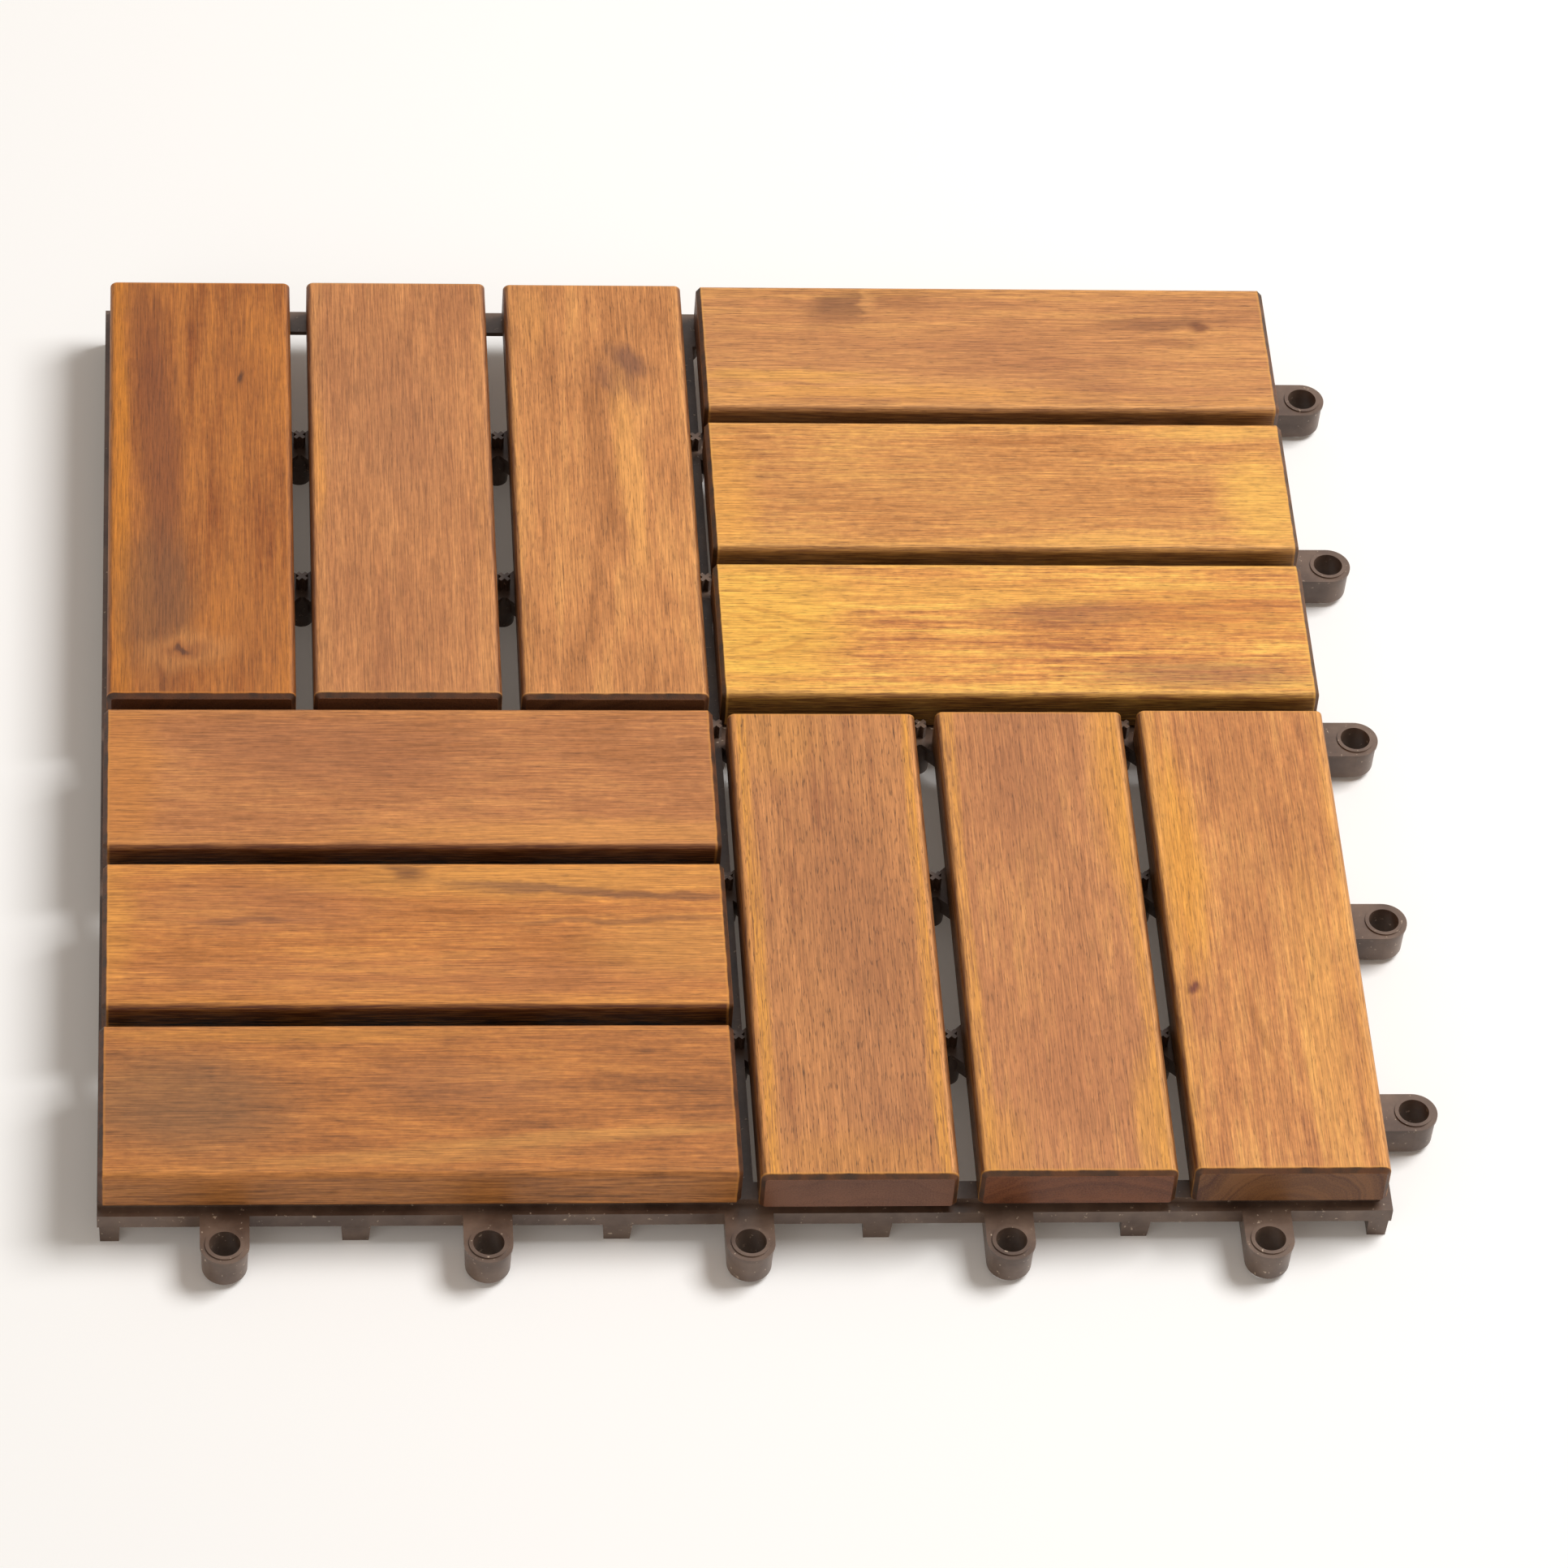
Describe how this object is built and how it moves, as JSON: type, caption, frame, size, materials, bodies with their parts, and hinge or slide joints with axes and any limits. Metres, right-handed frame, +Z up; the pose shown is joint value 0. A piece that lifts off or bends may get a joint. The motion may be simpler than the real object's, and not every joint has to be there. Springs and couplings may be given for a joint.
{
  "type": "interlocking deck tile",
  "caption": "Square deck tile of hardwood slats in a basket weave, screwed to a plastic grid with loops and pins that lock it to its neighbours on a flat floor.",
  "frame": {"origin": "on the floor, under the middle of the field of slats, on the underside of the centre foot", "axes": "+Z up, out of the floor; -Y the front edge, which has loops; +X the right edge, which has loops; pins hang under the back (+Y) and left (-X) edges"},
  "size_m": [0.3126, 0.3126, 0.0229],
  "materials": {
    "acacia_red": "oiled satin, reddish brown",
    "acacia_brown": "oiled satin, mid brown",
    "acacia_golden": "oiled satin, golden brown",
    "grid_plastic": "satin moulded, brown black",
    "screw_steel": "plain zinc"
  },
  "bodies": {
    "root": {"base_grid": "grid_plastic", "slat_screws": "screw_steel", "slat_back_left_1": "acacia_red", "slat_back_left_2": "acacia_red", "slat_back_left_3": "acacia_brown", "slat_back_right_1": "acacia_brown", "slat_back_right_2": "acacia_golden", "slat_back_right_3": "acacia_golden", "slat_front_left_1": "acacia_red", "slat_front_left_2": "acacia_red", "slat_front_left_3": "acacia_brown", "slat_front_right_1": "acacia_brown", "slat_front_right_2": "acacia_brown", "slat_front_right_3": "acacia_golden"}
  },
  "joints": []
}
